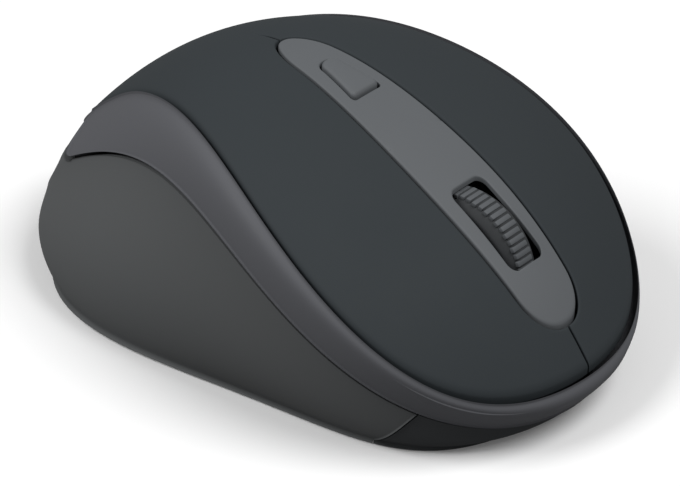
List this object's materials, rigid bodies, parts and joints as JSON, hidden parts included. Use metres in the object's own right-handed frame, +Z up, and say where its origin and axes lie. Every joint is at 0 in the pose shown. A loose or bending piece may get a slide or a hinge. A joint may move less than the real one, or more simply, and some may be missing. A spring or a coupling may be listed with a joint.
{
  "type": "computer mouse",
  "caption": "Wireless computer mouse: dark domed cover with two keys, grey centre strip with ribbed scroll wheel and pointer-speed button, grey side band and shells.",
  "frame": {"origin": "centre of the mouse's footprint on the table, level with the underside of its feet", "axes": "+Y towards the nose (the cable-less front, where the keys end), +X to the user's right, +Z up"},
  "size_m": [0.065, 0.1003, 0.0424],
  "materials": {
    "cover_plastic": "soft-touch, fine satin grain",
    "strip_plastic": "fine satin",
    "band_plastic": "fine satin",
    "side_plastic": "fine satin",
    "base_plastic": "matt moulded",
    "tyre_rubber": "moulded ribs",
    "foot_plastic": "slick, lightly polished",
    "white_plastic": "natural moulded",
    "black_plastic": "moulded",
    "circuit_board": "green solder mask",
    "clear_plastic": "clear moulded",
    "lamp_plastic": "tinted clear",
    "steel": "plated",
    "tinned_steel": "tin plated",
    "cell_jacket": "plain printed jacket"
  },
  "bodies": {
    "housing": {"palm_cover": "cover_plastic", "centre_strip": "strip_plastic", "side_band": "band_plastic", "side_shell": "side_plastic", "base_shell": "base_plastic", "front_foot": "foot_plastic", "rear_foot": "foot_plastic", "left_switch_body": "black_plastic", "right_switch_body": "black_plastic", "middle_switch_body": "black_plastic", "dpi_switch_body": "black_plastic", "encoder_detector": "black_plastic", "sensor_chip": "black_plastic", "radio_chip": "black_plastic", "capacitor": "black_plastic", "main_board": "circuit_board", "dpi_board": "circuit_board", "sensor_lens": "clear_plastic", "encoder_emitter": "clear_plastic", "sensor_lamp": "lamp_plastic", "case_screw_left": "steel", "case_screw_right": "steel", "board_screw_left": "steel", "board_screw_right": "steel", "dpi_screw_rear": "steel", "dpi_screw_front": "steel", "contact_link": "steel", "contact_positive": "steel", "contact_negative": "steel", "crystal": "tinned_steel", "power_switch_body": "tinned_steel", "battery_front": "cell_jacket", "battery_rear": "cell_jacket"},
    "left_key": {"left_key": "cover_plastic"},
    "right_key": {"right_key": "cover_plastic"},
    "dpi_button": {"dpi_button": "strip_plastic"},
    "dpi_plunger": {"dpi_switch_plunger": "white_plastic"},
    "left_plunger": {"left_switch_plunger": "white_plastic"},
    "right_plunger": {"right_switch_plunger": "white_plastic"},
    "middle_plunger": {"middle_switch_plunger": "white_plastic"},
    "cradle": {"wheel_cradle": "black_plastic"},
    "wheel": {"wheel_tyre": "tyre_rubber", "wheel_hub": "white_plastic", "encoder_disc": "black_plastic"},
    "power_slider": {"power_slider": "white_plastic"},
    "battery_door": {"battery_door": "base_plastic"},
    "receiver": {"receiver_cap": "black_plastic", "receiver_plug": "tinned_steel"}
  },
  "joints": [
    {"name": "left_click", "type": "hinge", "parent": "housing", "child": "left_key", "pos_m": [0, -0.0165, 0.0405], "axis": [-1, 0, 0], "range_deg": [0, 0.7], "stiffness_Nm_per_rad": 2.5},
    {"name": "right_click", "type": "hinge", "parent": "housing", "child": "right_key", "pos_m": [0, -0.0165, 0.0405], "axis": [-1, 0, 0], "range_deg": [0, 0.7], "stiffness_Nm_per_rad": 2.5},
    {"name": "left_plunger_travel", "type": "slide", "parent": "housing", "child": "left_plunger", "axis": [0, 0, -1], "range_m": [0, 0.00065]},
    {"name": "right_plunger_travel", "type": "slide", "parent": "housing", "child": "right_plunger", "axis": [0, 0, -1], "range_m": [0, 0.00065]},
    {"name": "dpi_press", "type": "slide", "parent": "housing", "child": "dpi_button", "axis": [0, 0, -1], "range_m": [0, 0.0005], "stiffness_N_per_m": 800},
    {"name": "dpi_plunger_travel", "type": "slide", "parent": "housing", "child": "dpi_plunger", "axis": [0, 0, -1], "range_m": [0, 0.0005]},
    {"name": "wheel_press", "type": "slide", "parent": "housing", "child": "cradle", "axis": [0, 0, -1], "range_m": [0, 0.0005], "stiffness_N_per_m": 2500},
    {"name": "middle_plunger_travel", "type": "slide", "parent": "housing", "child": "middle_plunger", "axis": [0, 0, -1], "range_m": [0, 0.0005]},
    {"name": "wheel_spin", "type": "hinge", "parent": "cradle", "child": "wheel", "pos_m": [0, 0.0255, 0.0186], "axis": [1, 0, 0], "continuous": true},
    {"name": "power_slide", "type": "slide", "parent": "housing", "child": "power_slider", "axis": [0, 1, 0], "range_m": [0, 0.003]},
    {"name": "battery_door_pull", "type": "slide", "parent": "housing", "child": "battery_door", "axis": [0, 0, -1], "range_m": [0, 0.015]},
    {"name": "receiver_pull", "type": "slide", "parent": "housing", "child": "receiver", "axis": [0, 0, -1], "range_m": [0, 0.015]}
  ],
  "couplings": [
    {"joint": "left_plunger_travel", "follows": "left_click", "m_per_rad": 0.052},
    {"joint": "right_plunger_travel", "follows": "right_click", "m_per_rad": 0.052},
    {"joint": "dpi_plunger_travel", "follows": "dpi_press", "ratio": 1},
    {"joint": "middle_plunger_travel", "follows": "wheel_press", "ratio": 1}
  ]
}
